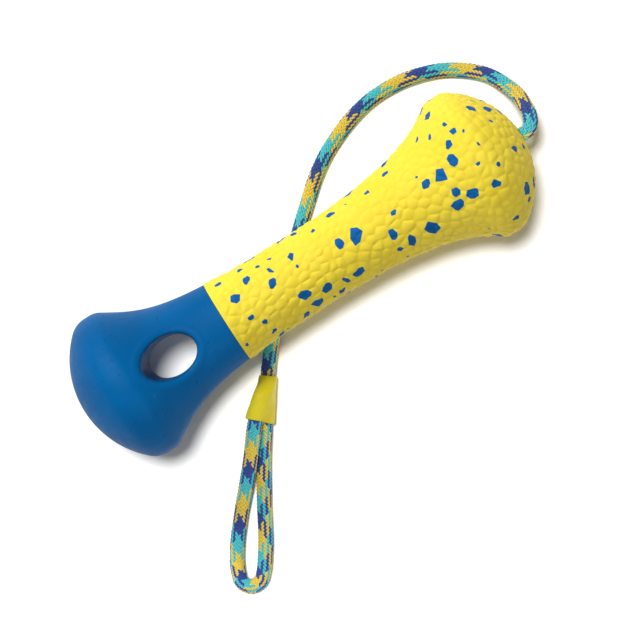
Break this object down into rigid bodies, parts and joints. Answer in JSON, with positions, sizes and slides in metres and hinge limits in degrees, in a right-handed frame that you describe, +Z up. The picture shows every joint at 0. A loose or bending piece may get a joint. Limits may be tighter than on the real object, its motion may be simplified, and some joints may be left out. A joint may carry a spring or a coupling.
{
  "type": "training bumper",
  "caption": "Dumbbell-shaped dog training bumper: blue grip end with a finger hole, yellow foam body, braided throw rope with a sleeved hand loop.",
  "frame": {"origin": "under the middle of the bumper, on the surface it lies on; the rope is left out of that middle", "axes": "+X along the bumper from the blue grip end to the yellow foam end, +Z up, +Y to the side that the rope's wide bend lies on"},
  "size_m": [0.243, 0.1661, 0.07],
  "materials": {
    "grip_rubber": "satin moulded thermoplastic rubber",
    "foam": "matte closed-cell foam with a pebbled skin and blue crumbs",
    "liner_plastic": "natural polyethylene tube",
    "washer_steel": "plated steel",
    "rope_braid": "braided polypropylene in navy, aqua and mustard",
    "crimp_aluminium": "satin",
    "sleeve_plastic": "shrunk-on soft plastic tube"
  },
  "bodies": {
    "root": {"grip_end": "grip_rubber", "foam_body": "foam", "channel_liner": "liner_plastic", "anchor_washer": "washer_steel", "stopper_knot": "rope_braid", "rope_inner_run": "rope_braid", "tug_rope": "rope_braid", "loop_crimp": "crimp_aluminium", "loop_sleeve": "sleeve_plastic"}
  },
  "joints": []
}
